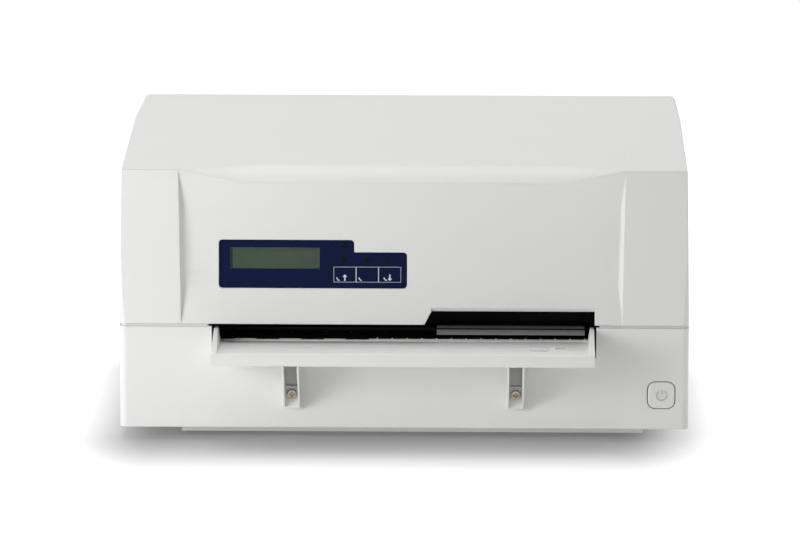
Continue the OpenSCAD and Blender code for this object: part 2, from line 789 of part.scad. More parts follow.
module carriage() color(black) placed() difference() {
    union() {
        from_z(carriage_base[0], carriage_base[1])
            polygon(rounded_box([-carriage_half, 70], [carriage_half, 118], 4));
        rod_x(-carriage_half, carriage_half, guide, boss_r);
        block([-carriage_half, 115.5, carriage_base[0]], [carriage_half, 120, guide[1]]);
        block([-20, 71, carriage_base[0]], [20, 74, 128]);
        block([-12, 57, 115.6], [12, 73, rail_z - 0.4]);
        block([-12, 57, rail_z + rail_t + 0.4], [12, 73, 126.4]);
        block([-8, 126, 110], [8, 149, 128]);
    }
    rod_x(-carriage_half - 2, carriage_half + 2, guide, carriage_bush_r);
    translate([0, print_y, 80]) cylinder(r = head_r, h = 20);
    block([-9, belt_y - 0.5, belt_z + pulley_r - 1.2], [9, belt_y + belt_w + 0.5, belt_z + pulley_r + 1.8]);
    block([-9, belt_y - 0.5, 108], [9, 150, belt_z + pulley_r - 3]);
}

module carriage_bushes() color(nylon) placed() mirrored() difference() {
    rod_x(carriage_half / 2, carriage_half, guide, carriage_bush_r);
    rod_x(carriage_half / 2 - 1, carriage_half + 1, guide, guide_r + running);
}

module print_head() color([0.25, 0.25, 0.27]) placed() translate([0, print_y, 0]) {
    translate([0, 0, 84]) cylinder(r = head_r, h = 22);
    translate([0, 0, carriage_base[1]]) cylinder(r = head_r + 2, h = 4);
    translate([0, 0, 76]) cylinder(r1 = 8, r2 = 14, h = 8);
    block([-4, -8, ribbon_z + 0.9], [4, 8, 78]);
}

module head_heat_sink() color([0.45, 0.46, 0.48]) placed() translate([0, print_y, 0]) {
    fin_t = 1.4;
    fin_pitch = 3.2;
    fin_half = 15;
    translate([0, 0, 106]) cylinder(r = head_r - 1, h = 3);
    for (i = [-4:4]) translate([0, i * fin_pitch, 0])
        block([-fin_half, -fin_t / 2, 108.9], [fin_half, fin_t / 2, 124]);
}

module ribbon_mask() color(bright) placed() translate([0, print_y, 0]) difference() {
    union() {
        block([-14, -19.5, ribbon_z - 0.7], [14, 19.5, ribbon_z - 0.5]);
        for (y = [-19.5, 18.5]) block([-10, y, ribbon_z - 0.7], [10, y + 1, 86]);
    }
    block([-3, -6, ribbon_z - 2], [3, 6, ribbon_z]);
}

// ---- motors, belt and pulleys ----

module feed_motor() color(steel) placed() difference() {
    union() {
        from_x(frame_x - 34, frame_x) translate(motor_at) polygon(rounded_middle([motor_w, motor_w], 5));
        rod_x(frame_x - 1, frame_x + frame_t, motor_at, 6);
    }
    rod_x(frame_x - 12, frame_x + 3, motor_at, 2.5 + running);
}

module carriage_motor() color(steel) placed() translate([-pulley_x, 0, belt_z]) difference() {
    union() {
        from_y(beam_y + beam_t, beam_y + beam_t + 34) polygon(rounded_middle([motor_w, motor_w], 5));
        rod_y(beam_y, beam_y + beam_t + 1, 0, 0, 6);
    }
    rod_y(beam_y - 1, beam_y + 14, 0, 0, 2.5 + running);
}

module pulley(shaft_end) {
    rod_y(belt_y - 1.4, belt_y - 0.4, 0, 0, pulley_r + 2);
    rod_y(belt_y - 0.5, belt_y + belt_w + 0.5, 0, 0, pulley_r - 0.6);
    rod_y(belt_y + belt_w + 0.4, belt_y + belt_w + 1.4, 0, 0, pulley_r + 2);
    rod_y(belt_y, shaft_end, 0, 0, 2.5);
}

module drive_pulley() color(nylon) placed() translate([-pulley_x, 0, belt_z]) pulley(beam_y + 13);

module idler_pulley() color(nylon) placed() translate([pulley_x, 0, belt_z]) pulley(beam_y + beam_t + 3);

module timing_belt() color(black) placed() translate([0, 0, belt_z])
    from_y(belt_y, belt_y + belt_w) difference() {
        polygon(stadium(pulley_x, pulley_r + belt_t - 0.3));
        polygon(stadium(pulley_x, pulley_r - 0.3));
    }

// ---- feed rollers and gears ----

module drive_shaft(at) { placed() rod_x(-frame_x - frame_t - 4, gear_x + gear_t + 1, at, shaft_r); }

module rollers(at) {
    placed() for (x = roller_places) difference() {
        rod_x(x - roller_len / 2, x + roller_len / 2, at, roller_r);
        rod_x(x - roller_len / 2 - 1, x + roller_len / 2 + 1, at, shaft_r);
    }
}

module pinch_rollers(y) {
    placed() {
        rod_x(-frame_x - frame_t - 2, frame_x + frame_t + 2, [y, pinch_z], pinch_shaft_r);
        for (x = roller_places) rod_x(x - roller_len / 2, x + roller_len / 2, [y, pinch_z], pinch_r);
    }
}

module gear(at, teeth, phase, bore) {
    placed() from_x(gear_x, gear_x + gear_t) translate(at) difference() {
        polygon(gear_outline(teeth, phase));
        circle(r = bore);
    }
}

module front_drive_shaft() color(bright) drive_shaft(front_drive);
module rear_drive_shaft() color(bright) drive_shaft(rear_drive);
module front_rollers() color(black) rollers(front_drive);
module rear_rollers() color(black) rollers(rear_drive);
module front_pinch_rollers() color(nylon) pinch_rollers(front_drive[0]);
module rear_pinch_rollers() color(nylon) pinch_rollers(rear_drive[0]);
module front_gear() color(nylon) gear(front_drive, roller_teeth, 0, shaft_r);
module rear_gear() color(nylon) gear(rear_drive, roller_teeth, rear_phase, shaft_r);
module front_idler_gear() color(nylon) gear(front_idler, idler_teeth, front_idler_phase, 3 + running);
module rear_idler_gear() color(nylon) gear(rear_idler, idler_teeth, rear_idler_phase, 3 + running);

module motor_pinion() color(bright) {
    placed() from_x(gear_x, gear_x + gear_t) translate(motor_at)
        polygon(gear_outline(pinion_teeth, pinion_phase));
    placed() rod_x(frame_x - 11, gear_x + 1, motor_at, 2.5);
}

// ---- electronics ----

module board(x, y) {
    block([x[0], y[0], board_low], [x[1], y[1], board_top]);
    for (px = [x[0] + pillar_inset, x[1] - pillar_inset], py = [y[0] + pillar_inset, y[1] - pillar_inset])
        translate([px, py, inner_floor]) cylinder(r = pillar_r, h = board_low - inner_floor + 0.5);
}

module power_supply() color(board_green) placed() {
    transformer = [40, 40];
    sink = [35, 3];
    capacitor_r = 9;
    capacitor_h = 30;
    board(supply_x, supply_y);
    block([-145, 45, board_low + 1], [-145 + transformer[0], 45 + transformer[1], inner_floor + 40]);
    block([-95, 92, board_low + 1], [-95 + sink[0], 92 + sink[1], inner_floor + 36]);
    for (x = [-88, -66]) translate([x, 60, board_low + 1]) cylinder(r = capacitor_r, h = capacitor_h);
}

module main_board() color(board_green) placed() {
    chip = [32, 22];
    header = [6, 60];
    board(board_x, board_y);
    for (x = [-120, -60, 10]) block([x, 150, board_low + 1], [x + chip[0], 150 + chip[1], inner_floor + 10]);
    block([60, 140, board_low + 1], [60 + header[0], 140 + header[1], inner_floor + 16]);
    translate([85, 160, board_low + 1]) cylinder(r = 6, h = 16);
}

module parallel_port() color(steel) placed() translate([parallel_x, 0, port_z]) {
    difference() {
        block([-30, case_d - 18, -7], [30, case_d, 7]);
        block([-26, case_d - 8, -4.5], [26, case_d + 1, 4.5]);
    }
    block([-24, case_d - 10, -2], [24, case_d - 2, 2]);
    block([-28, case_d - 24, board_top - port_z], [28, case_d - 17, 6]);
}

module serial_port() color(steel) placed() translate([serial_x, 0, port_z]) {
    from_y(case_d - 18, case_d) polygon([[-19, 5], [19, 5], [17, -5], [-17, -5]]);
    block([-24, case_d - 24, board_top - port_z], [24, case_d - 17, 6]);
}

module mains_inlet() color(black) placed() translate([inlet_x, 0, inlet_z]) {
    difference() {
        union() {
            block([-13.8, case_d - 24, -10.3], [13.8, case_d, 10.3]);
            block([-16, case_d - 6, -12], [16, case_d - lower_wall, 12]);
        }
        block([-12, case_d - 18, -8], [12, case_d + 1, 8]);
    }
    for (x = [-7, 0, 7]) block([x - 1, case_d - 19, -2], [x + 1, case_d - 6, 2]);
}

lower_case();
chassis_tray();
feet();
rear_housing();
hinge_pins();
front_table();
left_table_bracket();
right_table_bracket();
bracket_screws();
left_side_frame();
right_side_frame();
front_beam();
rear_beam();
platen();
front_deck();
rear_deck();
upper_guide();
passbook_guide();
guide_shaft();
front_rail();
ribbon_cartridge();
ink_ribbon();
feed_motor();
carriage_motor();
timing_belt();
shaft_bushes();
power_supply();
mains_inlet();
power_switch();
main_board();
parallel_port();
serial_port();
top_cover();
panel_overlay();
display_window();
display_module();
panel_board();
status_lamps();
left_key();
middle_key();
right_key();
power_button();
carriage();
print_head();
head_heat_sink();
ribbon_mask();
carriage_bushes();
front_drive_shaft();
front_rollers();
front_gear();
rear_drive_shaft();
rear_rollers();
rear_gear();
front_idler_gear();
rear_idler_gear();
motor_pinion();
front_pinch_rollers();
rear_pinch_rollers();
drive_pulley();
idler_pulley();
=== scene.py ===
import json
import math

import bmesh
import bpy
from mathutils import Matrix, Vector

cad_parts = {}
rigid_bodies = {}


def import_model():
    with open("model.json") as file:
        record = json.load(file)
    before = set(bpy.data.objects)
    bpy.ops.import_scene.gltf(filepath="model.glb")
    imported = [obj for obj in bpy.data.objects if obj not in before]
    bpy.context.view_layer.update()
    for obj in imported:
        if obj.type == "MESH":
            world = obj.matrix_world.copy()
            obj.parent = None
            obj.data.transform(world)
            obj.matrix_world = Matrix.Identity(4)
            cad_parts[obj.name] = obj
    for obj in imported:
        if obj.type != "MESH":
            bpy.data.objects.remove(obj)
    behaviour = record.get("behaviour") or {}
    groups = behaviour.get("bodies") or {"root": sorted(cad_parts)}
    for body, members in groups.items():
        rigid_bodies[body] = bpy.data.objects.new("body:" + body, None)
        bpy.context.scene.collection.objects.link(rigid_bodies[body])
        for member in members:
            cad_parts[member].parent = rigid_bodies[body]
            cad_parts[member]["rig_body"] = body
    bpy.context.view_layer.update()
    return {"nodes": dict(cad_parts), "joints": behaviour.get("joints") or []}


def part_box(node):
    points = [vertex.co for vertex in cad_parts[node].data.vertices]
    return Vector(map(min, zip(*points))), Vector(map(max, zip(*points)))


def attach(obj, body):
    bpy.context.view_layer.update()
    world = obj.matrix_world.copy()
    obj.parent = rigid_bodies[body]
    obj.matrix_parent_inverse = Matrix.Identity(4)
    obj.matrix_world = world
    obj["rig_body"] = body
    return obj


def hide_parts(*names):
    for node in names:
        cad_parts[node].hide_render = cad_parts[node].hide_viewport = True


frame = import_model()
nodes = frame["nodes"]
mm = 0.001


# camera, fitted to the edges of the case on the photograph
camera = {
    "turn": 1.004,        # degrees to the right of straight ahead
    "height": 10.0,       # degrees above the horizon
    "roll": 0.092,        # degrees
    "distance": 3.402,
    "aim": (-0.002692, -0.097, 0.11852),
    "focal": 5064,        # in the photograph's pixels
    "photoWide": 800,
    "sensor": 36,
    "clipEnd": 50,
}


def placeCamera():
    turn, height, roll = (math.radians(camera[k]) for k in ("turn", "height", "roll"))
    back = Vector((math.sin(turn) * math.cos(height), -math.cos(turn) * math.cos(height),
                   math.sin(height)))
    right = Vector((math.cos(turn), math.sin(turn), 0))
    up = back.cross(right)
    side = math.cos(roll) * right + math.sin(roll) * up
    top = -math.sin(roll) * right + math.cos(roll) * up
    data = bpy.data.cameras.new("camera")
    data.lens = camera["focal"] / camera["photoWide"] * camera["sensor"]
    data.sensor_width = camera["sensor"]
    data.sensor_fit = "HORIZONTAL"
    data.clip_end = camera["clipEnd"]
    eye = bpy.data.objects.new("camera", data)
    place = Vector(camera["aim"]) + back * camera["distance"]
    eye.matrix_world = Matrix.Translation(place) @ Matrix((side, top, back)).transposed().to_4x4()
    bpy.context.scene.collection.objects.link(eye)
    bpy.context.scene.camera = eye


placeCamera()
print("camera placed")


def addNode(tree, kind, values=None, **settings):
    node = tree.nodes.new(kind)
    for key, value in settings.items():
        setattr(node, key, value)
    for key, value in (values or {}).items():
        node.inputs[key].default_value = value
    return node


# a Mix node takes its factor in socket 0, two numbers in 2 and 3, and two colours in 6 and 7
def mixColour(tree, factor, first, second):
    mix = addNode(tree, "ShaderNodeMix", data_type="RGBA")
    for socket, source in ((mix.inputs[0], factor), (mix.inputs[6], first),
                           (mix.inputs[7], second)):
        if isinstance(source, bpy.types.NodeSocket):
            tree.links.new(source, socket)
        else:
            socket.default_value = source
    return mix.outputs[2]


def objectPlace(tree):
    return addNode(tree, "ShaderNodeTexCoord").outputs["Object"]


def objectAxis(tree, axis):
    split = addNode(tree, "ShaderNodeSeparateXYZ")
    tree.links.new(objectPlace(tree), split.inputs[0])
    return split.outputs[axis]


# shader groups shared by several materials, and the numbers that all of those materials share
grainShape = {
    "detail": 3,
    "driftDetail": 2,
    "edgeSamples": 6,
    "relief": 0.04 * mm,
    "roughnessSpread": 0.16,     # centred on the material's own roughness
}
streakShape = {
    "detail": 4,
    "stretch": (0.04, 1, 1),
    "relief": 0.03 * mm,
    "roughnessSpread": 0.15,     # added to the material's own roughness
}
groupOutputs = {"Colour": "NodeSocketColor", "Roughness": "NodeSocketFloat",
                "Normal": "NodeSocketVector"}


def newGroup(name, inputs):
    group = bpy.data.node_groups.new(name, "ShaderNodeTree")
    for label, value in inputs.items():
        kind = "NodeSocketColor" if isinstance(value, tuple) else "NodeSocketFloat"
        socket = group.interface.new_socket(label, in_out="INPUT", socket_type=kind)
        socket.default_value = value
    for label, kind in groupOutputs.items():
        group.interface.new_socket(label, in_out="OUTPUT", socket_type=kind)
    return group, group.nodes.new("NodeGroupInput"), group.nodes.new("NodeGroupOutput")


# fine moulded grain over softened edges, and a faint drift of colour over the surface
def grainGroup():
    group, given, out = newGroup("mouldedGrain", {
        "Colour": (0.8, 0.8, 0.8, 1), "Shade": (0.7, 0.7, 0.7, 1), "Grain Size": 1800,
        "Grain Depth": 0.1, "Drift Size": 9, "Edge Radius": 0.3 * mm, "Roughness": 0.5})
    link = group.links.new
    place = objectPlace(group)
    fine = addNode(group, "ShaderNodeTexNoise", {"Detail": grainShape["detail"]})
    cloud = addNode(group, "ShaderNodeTexNoise", {"Detail": grainShape["driftDetail"]})
    for noise, size in ((fine, "Grain Size"), (cloud, "Drift Size")):
        link(place, noise.inputs["Vector"])
        link(given.outputs[size], noise.inputs["Scale"])
    edges = addNode(group, "ShaderNodeBevel", samples=grainShape["edgeSamples"])
    link(given.outputs["Edge Radius"], edges.inputs["Radius"])
    bump = addNode(group, "ShaderNodeBump", {"Distance": grainShape["relief"]})
    link(edges.outputs["Normal"], bump.inputs["Normal"])
    link(given.outputs["Grain Depth"], bump.inputs["Strength"])
    link(fine.outputs["Fac"], bump.inputs["Height"])
    link(bump.outputs["Normal"], out.inputs["Normal"])
    link(mixColour(group, cloud.outputs["Fac"], given.outputs["Colour"], given.outputs["Shade"]),
         out.inputs["Colour"])
    spread = grainShape["roughnessSpread"]
    rough = addNode(group, "ShaderNodeMath", {1: spread}, operation="MULTIPLY_ADD")
    lowest = addNode(group, "ShaderNodeMath", {1: spread / 2}, operation="SUBTRACT")
    link(fine.outputs["Fac"], rough.inputs[0])
    link(given.outputs["Roughness"], lowest.inputs[0])
    link(lowest.outputs[0], rough.inputs[2])
    link(rough.outputs[0], out.inputs["Roughness"])
    return group


# drawn or brushed metal: streaks stretched along X
def brushedGroup():
    group, given, out = newGroup("brushedStreaks", {
        "Colour": (0.6, 0.6, 0.6, 1), "Shade": (0.5, 0.5, 0.5, 1), "Streak Size": 900,
        "Depth": 0.1, "Roughness": 0.3})
    link = group.links.new
    stretch = addNode(group, "ShaderNodeMapping", {"Scale": streakShape["stretch"]})
    link(objectPlace(group), stretch.inputs["Vector"])
    streaks = addNode(group, "ShaderNodeTexNoise", {"Detail": streakShape["detail"]})
    link(stretch.outputs["Vector"], streaks.inputs["Vector"])
    link(given.outputs["Streak Size"], streaks.inputs["Scale"])
    bump = addNode(group, "ShaderNodeBump", {"Distance": streakShape["relief"]})
    link(given.outputs["Depth"], bump.inputs["Strength"])
    link(streaks.outputs["Fac"], bump.inputs["Height"])
    link(bump.outputs["Normal"], out.inputs["Normal"])
    link(mixColour(group, streaks.outputs["Fac"], given.outputs["Colour"], given.outputs["Shade"]),
         out.inputs["Colour"])
    rough = addNode(group, "ShaderNodeMath", {1: streakShape["roughnessSpread"]},
                    operation="MULTIPLY_ADD")
    link(streaks.outputs["Fac"], rough.inputs[0])
    link(given.outputs["Roughness"], rough.inputs[2])
    link(rough.outputs[0], out.inputs["Roughness"])
    return group


groups = {"grain": grainGroup(), "brushed": brushedGroup()}

# each finish: its group, the group's values, and plain values set on the shader itself
finishes = {
    "casePlastic": (
        "grain", {"Colour": (0.775, 0.772, 0.762, 1), "Shade": (0.752, 0.749, 0.738, 1),
                  "Grain Size": 1500, "Grain Depth": 0.3, "Edge Radius": 1.1 * mm,
                  "Roughness": 0.5}, {"Specular IOR Level": 0.3}),
    "tablePlastic": (
        "grain", {"Colour": (0.775, 0.772, 0.762, 1), "Shade": (0.755, 0.752, 0.742, 1),
                  "Grain Size": 1900, "Grain Depth": 0.2, "Edge Radius": 0.8 * mm,
                  "Roughness": 0.5}, {"Specular IOR Level": 0.08}),
    "blackPlastic": (
        "grain", {"Colour": (0.004, 0.004, 0.005, 1), "Shade": (0.008, 0.008, 0.009, 1),
                  "Grain Size": 1300, "Grain Depth": 0.4, "Roughness": 0.6},
        {"Specular IOR Level": 0.08}),
    "navyFilm": (
        "grain", {"Colour": (0.0034, 0.008, 0.038, 1), "Shade": (0.004, 0.0092, 0.043, 1),
                  "Grain Size": 2600, "Grain Depth": 0.15, "Roughness": 0.36},
        {"Specular IOR Level": 0.06}),
    "paleInk": (
        "grain", {"Colour": (0.72, 0.74, 0.79, 1), "Shade": (0.66, 0.68, 0.73, 1),
                  "Grain Depth": 0.05, "Roughness": 0.5}, {}),
    "lampLens": (
        "grain", {"Colour": (0.001, 0.0015, 0.001, 1), "Shade": (0.01, 0.013, 0.009, 1),
                  "Grain Size": 500, "Grain Depth": 0.02, "Roughness": 0.12},
        {"Specular IOR Level": 0.08}),
    "nylon": (
        "grain", {"Colour": (0.74, 0.71, 0.62, 1), "Shade": (0.66, 0.63, 0.54, 1),
                  "Grain Size": 900, "Grain Depth": 0.15, "Roughness": 0.4}, {}),
    "rollerRubber": (
        "grain", {"Colour": (0.016, 0.016, 0.016, 1), "Shade": (0.03, 0.03, 0.03, 1),
                  "Grain Size": 700, "Grain Depth": 0.5, "Roughness": 0.75}, {}),
    "inkedCloth": (
        "grain", {"Colour": (0.008, 0.008, 0.012, 1), "Shade": (0.02, 0.02, 0.028, 1),
                  "Grain Size": 2400, "Grain Depth": 0.8, "Roughness": 0.85}, {}),
    "zincSteel": (
        "brushed", {"Colour": (0.56, 0.57, 0.58, 1), "Shade": (0.42, 0.43, 0.45, 1),
                    "Streak Size": 500, "Depth": 0.2, "Roughness": 0.28}, {"Metallic": 1}),
    "trayZinc": (
        "brushed", {"Colour": (0.78, 0.775, 0.76, 1), "Shade": (0.7, 0.695, 0.68, 1),
                    "Streak Size": 400, "Depth": 0.15, "Roughness": 0.5}, {"Metallic": 0.7}),
    # the passbook guide's steel: a darkened copy of the bright steel, painted shade for the shade
    # it sits in inside the mouth
    "paintedShadeSteel": (
        "brushed", {"Colour": (0.26, 0.26, 0.27, 1), "Shade": (0.2, 0.2, 0.21, 1),
                    "Streak Size": 1500, "Depth": 0.1, "Roughness": 0.34}, {"Metallic": 1}),
    "contactGold": (
        "brushed", {"Colour": (0.72, 0.52, 0.2, 1), "Shade": (0.6, 0.42, 0.15, 1),
                    "Streak Size": 1500, "Depth": 0.1, "Roughness": 0.2}, {"Metallic": 1}),
    "brightSteel": (
        "brushed", {"Colour": (0.72, 0.72, 0.73, 1), "Shade": (0.6, 0.6, 0.62, 1),
                    "Streak Size": 1200, "Depth": 0.1, "Roughness": 0.14}, {"Metallic": 1}),
    # screw nickel: brushing streaks whose colours run from near black to bright, partly painted
    # glints and dark reflections
    "nickelPaintedGlints": (
        "brushed", {"Colour": (0.015, 0.013, 0.01, 1), "Shade": (0.56, 0.49, 0.39, 1),
                    "Streak Size": 700, "Depth": 0.9, "Roughness": 0.12}, {"Metallic": 1}),
    "motorSteel": (
        "brushed", {"Colour": (0.06, 0.06, 0.065, 1), "Shade": (0.1, 0.1, 0.105, 1),
                    "Streak Size": 700, "Depth": 0.3, "Roughness": 0.4}, {"Metallic": 0.6}),
    "castAluminium": (
        "grain", {"Colour": (0.3, 0.31, 0.32, 1), "Shade": (0.22, 0.23, 0.24, 1),
                  "Grain Size": 1000, "Grain Depth": 0.6, "Roughness": 0.42}, {"Metallic": 0.9}),
}


def newMaterial(name):
    material = bpy.data.materials.new(name)
    material.use_nodes = True
    return material, material.node_tree, material.node_tree.nodes["Principled BSDF"]


def makeFinish(finish, name=None):
    kind, values, plain = finishes[finish]
    material, tree, shader = newMaterial(name or finish)
    group = addNode(tree, "ShaderNodeGroup", node_tree=groups[kind])
    for key, value in values.items():
        group.inputs[key].default_value = value
    for label, socket in (("Colour", "Base Color"), ("Roughness", "Roughness"),
                          ("Normal", "Normal")):
        tree.links.new(group.outputs[label], shader.inputs[socket])
    for key, value in plain.items():
        shader.inputs[key].default_value = value
    return material


materials = {name: makeFinish(name) for name in finishes}

board = {
    "rise": 6.7 * mm,        # the board's upper face above the foot of its solid
    "noParts": 1,            # higher than anything, for a board that is green all over
    "tracks": {"Color1": (0.012, 0.13, 0.05, 1), "Color2": (0.014, 0.15, 0.058, 1),
               "Mortar": (0.03, 0.24, 0.1, 1), "Scale": 60, "Mortar Size": 0.008},
    "partDark": (0.012, 0.012, 0.014, 1),
    "partPale": (0.035, 0.035, 0.04, 1),
    "partScale": 200,
}
display = {
    # width and colour of the painted shadow along the display's left side
    "edge": 1.6 * mm,
    "edgeColour": (0.002, 0.002, 0.002, 1),
    "left": (0.05, 0.125, 0.062, 1),
    "right": (0.085, 0.105, 0.075, 1),
    "cells": (0.07, 0.12, 0.075, 1),
    "cellScale": 900,
    "roughness": 0.35,
}
window = {
    "shader": {"Base Color": (0.9, 0.95, 0.9, 1), "Transmission Weight": 1, "IOR": 1.3},
    "hazeScale": 300,
    "roughest": 0.06,
}
# colour of the painted shade at the top of the passbook guide
paintedShadeColour = (0.012, 0.012, 0.012, 1)


# green board with dark parts standing on it, told apart by their height above the board
def boardMaterial(name, boardTop):
    material = makeFinish("blackPlastic", name)
    tree = material.node_tree
    above = addNode(tree, "ShaderNodeMath", {1: boardTop}, operation="GREATER_THAN")
    tree.links.new(objectAxis(tree, "Z"), above.inputs[0])
    tracks = addNode(tree, "ShaderNodeTexBrick", board["tracks"])
    dark = addNode(tree, "ShaderNodeTexNoise", {"Scale": board["partScale"]})
    for pattern in (tracks, dark):
        tree.links.new(objectPlace(tree), pattern.inputs["Vector"])
    parts = mixColour(tree, dark.outputs["Fac"], board["partDark"], board["partPale"])
    tree.links.new(mixColour(tree, above.outputs[0], tracks.outputs["Color"], parts),
                   tree.nodes["Principled BSDF"].inputs["Base Color"])
    return material


# green liquid crystal that turns greyer to the right, with a painted shadow as a black band along
# its left side
def displayMaterial():
    low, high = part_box("display_window")
    material, tree, shader = newMaterial("displayPanel")
    shader.inputs["Roughness"].default_value = display["roughness"]
    across = addNode(tree, "ShaderNodeMapRange", {"From Min": low.x, "From Max": high.x},
                     interpolation_type="SMOOTHSTEP")
    edge = addNode(tree, "ShaderNodeMath", {1: low.x + display["edge"]}, operation="GREATER_THAN")
    for target in (across.inputs["Value"], edge.inputs[0]):
        tree.links.new(objectAxis(tree, "X"), target)
    cells = addNode(tree, "ShaderNodeTexNoise", {"Scale": display["cellScale"]})
    tree.links.new(objectPlace(tree), cells.inputs["Vector"])
    base = mixColour(tree, across.outputs["Result"], display["left"], display["right"])
    lit = mixColour(tree, cells.outputs["Fac"], base, display["cells"])
    tree.links.new(mixColour(tree, edge.outputs[0], display["edgeColour"], lit),
                   shader.inputs["Base Color"])
    return material


def windowMaterial():
    material, tree, shader = newMaterial("clearWindow")
    for key, value in window["shader"].items():
        shader.inputs[key].default_value = value
    haze = addNode(tree, "ShaderNodeTexNoise", {"Scale": window["hazeScale"]})
    tree.links.new(objectPlace(tree), haze.inputs["Vector"])
    soft = addNode(tree, "ShaderNodeMath", {1: window["roughest"]}, operation="MULTIPLY")
    tree.links.new(haze.outputs["Fac"], soft.inputs[0])
    tree.links.new(soft.outputs[0], shader.inputs["Roughness"])
    return material


# the passbook guide's steel darkens towards its upper fold: painted shade, where the mouth shades
# it
def guideShadeMaterial():
    low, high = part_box("passbook_guide")
    material = makeFinish("paintedShadeSteel", "guidePaintedShadeSteel")
    tree = material.node_tree
    colour = tree.nodes["Principled BSDF"].inputs["Base Color"]
    upward = addNode(tree, "ShaderNodeMapRange", {"From Min": low.z, "From Max": high.z})
    tree.links.new(objectAxis(tree, "Z"), upward.inputs["Value"])
    plain = colour.links[0].from_socket
    tree.links.new(mixColour(tree, upward.outputs["Result"], plain, paintedShadeColour), colour)
    return material


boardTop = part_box("main_board")[0].z + board["rise"]
materials["displayPanel"] = displayMaterial()
materials["clearWindow"] = windowMaterial()
materials["guidePaintedShadeSteel"] = guideShadeMaterial()
materials["greenBoard"] = boardMaterial("greenBoard", boardTop)
materials["panelBoard"] = boardMaterial("panelBoard", board["noParts"])
print("materials made:", len(materials))

# how a CAD surface is made ready and rounded
rounding = {
    "merge": 0.004 * mm,
    "flatDegrees": 0.6,      # faces that differ by less count as one
    "edgeDegrees": 28,       # edges sharper than this are rounded
    "segments": 3,
    "flatWeight": 100,
}


# turns what the modifiers make into the piece's own mesh
def finishMesh(piece):
    bpy.context.view_layer.update()
    shown = piece.evaluated_get(bpy.context.evaluated_depsgraph_get())
    made = bpy.data.meshes.new_from_object(shown)
    piece.modifiers.clear()
    piece.data = made


# a CAD solid's surface, merged and with its flat faces whole again, then given rounded edges
def roundedCopy(nodeName, pieceName, radius, finish):
    source = nodes[nodeName]
    shape = bmesh.new()
    shape.from_mesh(source.data)
    bmesh.ops.remove_doubles(shape, verts=shape.verts, dist=rounding["merge"])
    bmesh.ops.dissolve_limit(shape, angle_limit=math.radians(rounding["flatDegrees"]),
                             verts=shape.verts, edges=shape.edges)
    mesh = bpy.data.meshes.new(pieceName)
    shape.to_mesh(mesh)
    shape.free()
    mesh.shade_smooth()
    piece = bpy.data.objects.new(pieceName, mesh)
    bpy.context.scene.collection.objects.link(piece)
    mesh.materials.append(materials[finish])
    bevel = piece.modifiers.new("roundEdges", "BEVEL")
    bevel.width = radius
    bevel.segments = rounding["segments"]
    bevel.limit_method = "ANGLE"
    bevel.angle_limit = math.radians(rounding["edgeDegrees"])
    bevel.use_clamp_overlap = True
    bevel.miter_outer = "MITER_ARC"
    even = piece.modifiers.new("flatFaces", "WEIGHTED_NORMAL")
    even.mode = "FACE_AREA"
    even.weight = rounding["flatWeight"]
    finishMesh(piece)
    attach(piece, source["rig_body"])
    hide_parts(nodeName)
    return piece


# pieces whose edges show: radius of the rounding in millimetres, finish, and record slot
shells = {
    "top_cover": ("coverShell", 0.8, "casePlastic", "case_plastic"),
    "lower_case": ("lowerShell", 0.5, "casePlastic", "case_plastic"),
    "front_table": ("paperTable", 0.35, "tablePlastic", "case_plastic"),
    "left_table_bracket": ("leftBracket", 0.3, "tablePlastic", "case_plastic"),
    "right_table_bracket": ("rightBracket", 0.3, "tablePlastic", "case_plastic"),
    "power_button": ("powerButton", 1.1, "casePlastic", "case_plastic"),
    "bracket_screws": ("bracketScrews", 0.25, "nickelPaintedGlints", "bright_steel"),
    "left_key": ("leftKey", 0.12, "navyFilm", "navy_overlay"),
    "middle_key": ("middleKey", 0.12, "navyFilm", "navy_overlay"),
    "right_key": ("rightKey", 0.12, "navyFilm", "navy_overlay"),
    "passbook_guide": ("passbookGuide", 0.12, "guidePaintedShadeSteel", "bright_steel"),
    "upper_guide": ("upperGuide", 0.4, "blackPlastic", "black_plastic"),
    "ribbon_cartridge": ("ribbonCase", 0.6, "blackPlastic", "black_plastic"),
    "carriage": ("carriageBody", 0.3, "blackPlastic", "black_plastic"),
    "feet": ("rubberFeet", 0.6, "rollerRubber", "foot_rubber"),
}
for nodeName, (pieceName, radius, finish, slotName) in shells.items():
    roundedCopy(nodeName, pieceName, radius * mm, finish)
print("rounded pieces made:", len(shells))

# CAD nodes that stay as they are, and the finish each one takes
nodeFinishes = {
    "casePlastic": ["rear_housing"],
    "navyFilm": ["panel_overlay"],
    "trayZinc": ["chassis_tray"],
    "zincSteel": ["hinge_pins", "left_side_frame", "right_side_frame", "rear_beam", "front_rail",
                  "parallel_port", "serial_port"],
    "brightSteel": ["guide_shaft", "ribbon_mask", "front_drive_shaft", "rear_drive_shaft",
                    "motor_pinion", "platen"],
    "blackPlastic": ["front_beam", "front_deck", "rear_deck", "timing_belt", "power_switch",
                     "mains_inlet"],
    "inkedCloth": ["ink_ribbon"],
    "motorSteel": ["feed_motor", "carriage_motor"],
    "nylon": ["shaft_bushes", "carriage_bushes", "front_gear", "rear_gear", "front_idler_gear",
              "rear_idler_gear", "front_pinch_rollers", "rear_pinch_rollers", "drive_pulley",
              "idler_pulley"],
    "greenBoard": ["power_supply", "main_board"],
    "panelBoard": ["panel_board"],
    "clearWindow": ["display_window"],
    "displayPanel": ["display_module"],
    "lampLens": ["status_lamps"],
    "castAluminium": ["print_head", "head_heat_sink"],
    "rollerRubber": ["front_rollers", "rear_rollers"],
}
unpainted = set(nodes) - set(shells)
for finish, names in nodeFinishes.items():
    for name in names:
        nodes[name].data.materials.clear()
        nodes[name].data.materials.append(materials[finish])
    unpainted -= set(names)
print("nodes without a finish:", sorted(unpainted))


